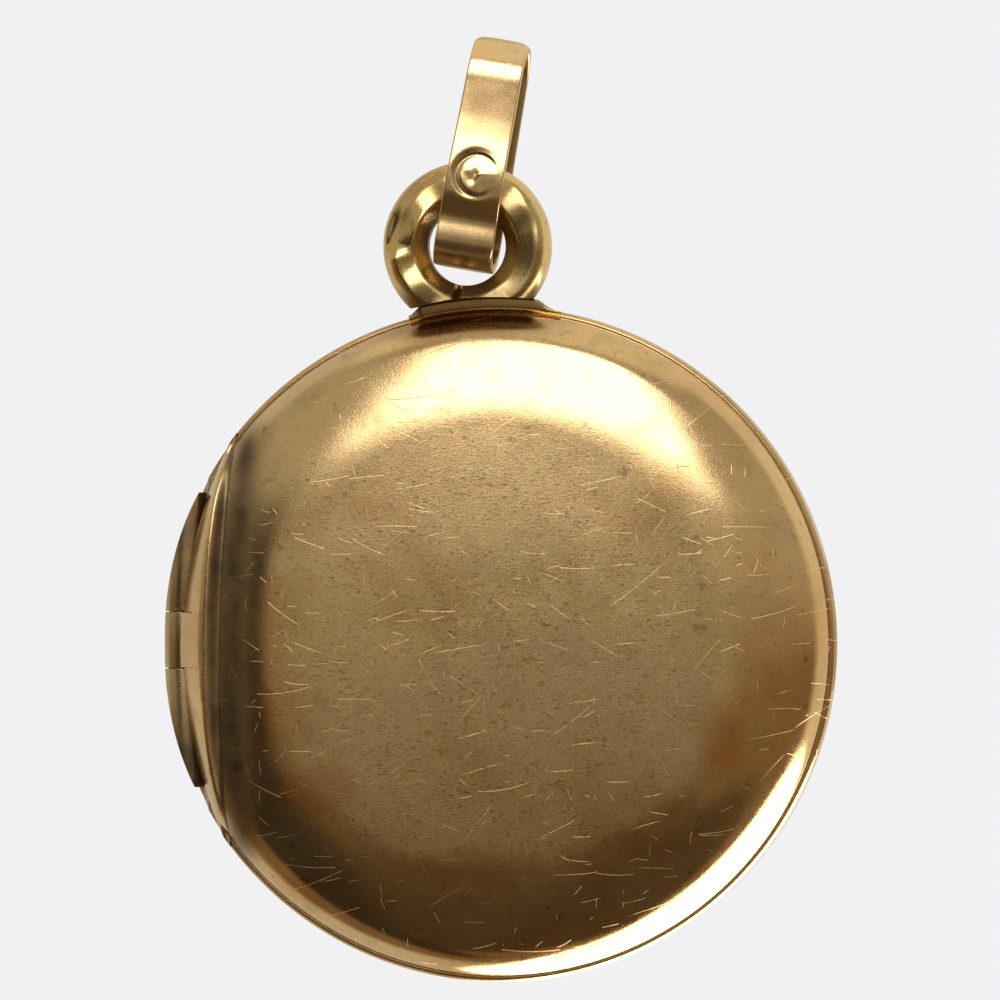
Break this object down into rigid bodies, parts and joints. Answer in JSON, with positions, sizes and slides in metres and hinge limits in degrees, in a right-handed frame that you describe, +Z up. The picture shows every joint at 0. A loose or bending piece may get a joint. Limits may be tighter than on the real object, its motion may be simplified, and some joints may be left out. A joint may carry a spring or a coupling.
{
  "type": "locket",
  "caption": "Round hinged locket with domed leaves, a soldered suspension ring and a strip bail, and a glazed photo frame inside each leaf.",
  "frame": {"origin": "middle of the chain opening, in the bail's top bend", "axes": "+X to the right seen from the front leaf, +Y from the front leaf to the rear leaf, +Z up as worn"},
  "size_m": [0.025, 0.0064, 0.035],
  "materials": {
    "bail": "polished yellow gold, softly worn",
    "ring": "worn yellow gold with tarnish in the corners",
    "case": "polished yellow gold with fine wear scratches",
    "hinge": "worn yellow gold",
    "pin": "drawn gold wire",
    "inner_frame": "turned gilt metal",
    "window": "clear flat glass",
    "card": "plain aged paper card"
  },
  "bodies": {
    "bail": {"bail": "bail"},
    "front_leaf": {"suspension_ring": "ring", "ring_foot": "ring", "front_shell": "case", "front_hinge_bearer": "hinge", "middle_knuckle": "hinge", "front_seat_ring": "inner_frame", "front_photo_frame": "inner_frame", "front_window": "window", "front_photo_card": "card"},
    "rear_leaf": {"rear_shell": "case", "rear_hinge_bearer": "hinge", "upper_knuckle": "hinge", "lower_knuckle": "hinge", "hinge_pin": "pin", "rear_snap_collar": "inner_frame", "rear_photo_frame": "inner_frame", "rear_window": "window", "rear_photo_card": "card"}
  },
  "joints": [
    {"name": "ring_swing", "type": "hinge", "parent": "bail", "child": "front_leaf", "pos_m": [-0.00108, 0, -0.00613], "axis": [0, 1, 0], "range_deg": [-80, 105]},
    {"name": "locket_hinge", "type": "hinge", "parent": "front_leaf", "child": "rear_leaf", "pos_m": [-0.01171, 0.0011, -0.02068], "axis": [0, 0, 1], "range_deg": [0, 110]}
  ]
}
